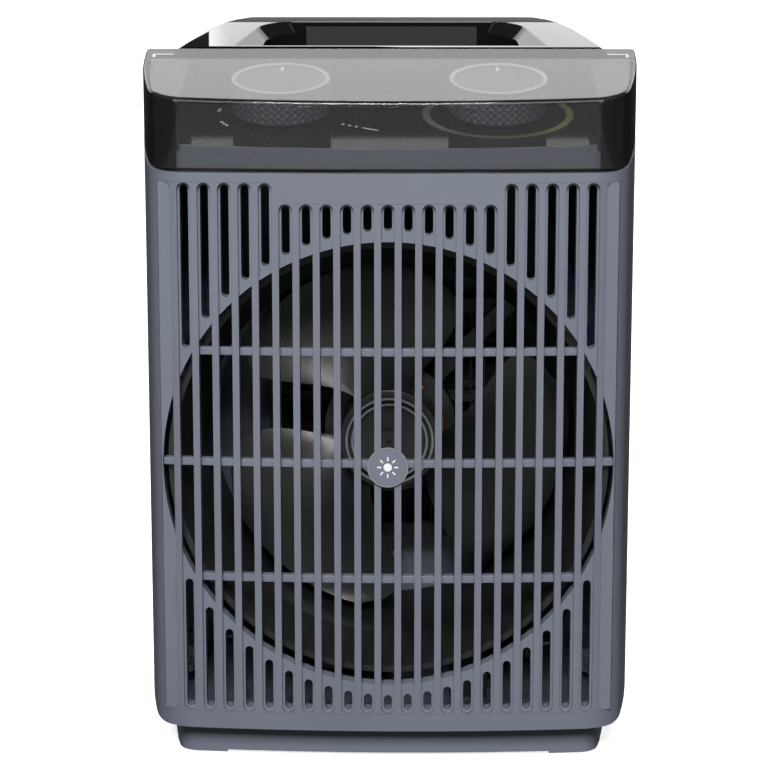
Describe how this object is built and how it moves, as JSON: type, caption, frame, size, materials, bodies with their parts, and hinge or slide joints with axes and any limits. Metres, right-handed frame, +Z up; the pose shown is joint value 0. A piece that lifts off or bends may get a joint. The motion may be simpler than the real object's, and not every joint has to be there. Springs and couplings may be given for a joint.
{
  "type": "ceramic space heater",
  "caption": "Compact upright ceramic fan heater with a bowed slotted front, a hinged clear lid over two knurled knobs and a carry handle in the sloping top.",
  "frame": {"origin": "middle of the bounding box's footprint, on the floor", "axes": "+Z up, air outlet towards -Y, +X to the right of the outlet as seen from the front"},
  "size_m": [0.207, 0.1274, 0.3053],
  "materials": {
    "slate": "satin moulded, fine texture",
    "slate_knob": "knurled satin",
    "gloss_black": "piano black",
    "smoked_clear": "polished smoked clear plastic",
    "soft_grip": "soft touch",
    "black_plastic": "moulded",
    "fan_black": "satin black",
    "duct_grey": "satin grey",
    "rubber": "matt",
    "bright_metal": "polished",
    "steel": "plated",
    "aluminium": "mill finish",
    "bronze": "plain",
    "copper": "enamelled wire",
    "ceramic": "fired ceramic",
    "steatite": "fired ceramic body",
    "terminal_white": "moulded",
    "lead_sleeve": "insulated wire",
    "white_print": "printed",
    "dial_print": "printed, grey fading to yellow-green"
  },
  "bodies": {
    "heater": {"front_casing": "slate", "front_grille": "slate", "grille_badge": "slate", "badge_rim": "bright_metal", "badge_mark": "white_print", "rear_casing": "slate", "intake_grille": "slate", "dust_filter": "black_plastic", "base_plinth": "slate", "rubber_feet": "rubber", "top_bezel": "slate", "control_panel": "gloss_black", "dial_ring": "dial_print", "panel_marks": "white_print", "lid_hinge_pins": "steel", "top_housing": "gloss_black", "handle_grip": "soft_grip", "rotary_switch": "black_plastic", "thermostat": "steatite", "switch_nuts": "steel", "fan_duct": "duct_grey", "motor_bracket": "steel", "motor_stator": "steel", "motor_winding": "copper", "motor_bearings": "bronze", "heater_frame": "black_plastic", "heater_fins": "aluminium", "ceramic_rows": "ceramic", "heater_electrodes": "bronze", "thermal_cutout": "black_plastic", "thermal_fuse": "ceramic", "terminal_block": "terminal_white", "power_leads": "lead_sleeve", "cord_inlet": "rubber", "tip_switch": "black_plastic", "tip_spring": "steel", "casing_screws": "steel", "motor_screws": "steel", "duct_screws": "steel", "plinth_screws": "steel"},
    "lid": {"lid": "smoked_clear"},
    "power_control": {"power_knob": "slate_knob", "power_pointer": "white_print", "power_shaft": "steel"},
    "thermostat_control": {"thermostat_knob": "slate_knob", "thermostat_pointer": "white_print", "thermostat_shaft": "steel"},
    "fan": {"fan_wheel": "fan_black", "hub_rings": "bright_metal", "fan_nut": "steel", "motor_rotor": "steel", "motor_shaft": "steel"},
    "tip_sensor": {"tip_plunger": "terminal_white"}
  },
  "joints": [
    {"name": "lid_hinge", "type": "hinge", "parent": "heater", "child": "lid", "pos_m": [0, 0.00357, 0.2885], "axis": [-1, 0, 0], "range_deg": [0, 115]},
    {"name": "power_turn", "type": "hinge", "parent": "heater", "child": "power_control", "pos_m": [-0.0452, -0.01388, 0.26809], "axis": [0, -0.2504, 0.9681], "range_deg": [-135, 135]},
    {"name": "thermostat_turn", "type": "hinge", "parent": "heater", "child": "thermostat_control", "pos_m": [0.0452, -0.01388, 0.26809], "axis": [0, -0.2504, 0.9681], "range_deg": [-135, 135]},
    {"name": "fan_spin", "type": "hinge", "parent": "heater", "child": "fan", "pos_m": [0, 0, 0.1265], "axis": [0, 1, 0], "continuous": true},
    {"name": "tip_slide", "type": "slide", "parent": "heater", "child": "tip_sensor", "axis": [0, 0, -1], "range_m": [0, 0.004], "stiffness_N_per_m": 100, "springref_m": 0.006, "deforming": ["tip_spring"]}
  ]
}
